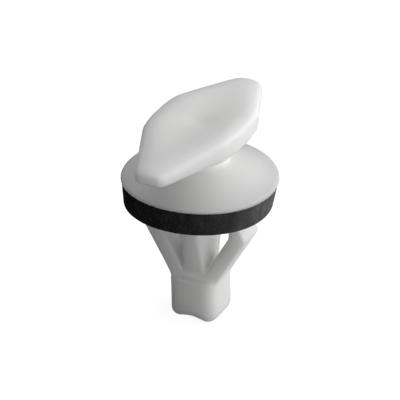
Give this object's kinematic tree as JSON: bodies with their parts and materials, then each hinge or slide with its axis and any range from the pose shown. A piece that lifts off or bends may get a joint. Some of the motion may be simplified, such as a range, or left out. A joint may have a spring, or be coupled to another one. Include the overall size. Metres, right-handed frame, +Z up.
{
  "type": "door panel clip",
  "caption": "White moulded clip with an oblong head on a round neck, a conical flange over a soft black sealing ring, and spring legs on a square nose that snap into a panel hole.",
  "frame": {"origin": "centre of the nose's foot, on the clip's own axis", "axes": "+Z up the clip's axis from the nose to the head, +X along the oblong head, +Y across the two spring legs"},
  "size_m": [0.0282, 0.02, 0.0283],
  "materials": {
    "nylon": "matte moulded nylon",
    "seal": "matte foam rubber"
  },
  "bodies": {
    "root": {"clip_body": "nylon", "sealing_ring": "seal"}
  },
  "joints": []
}
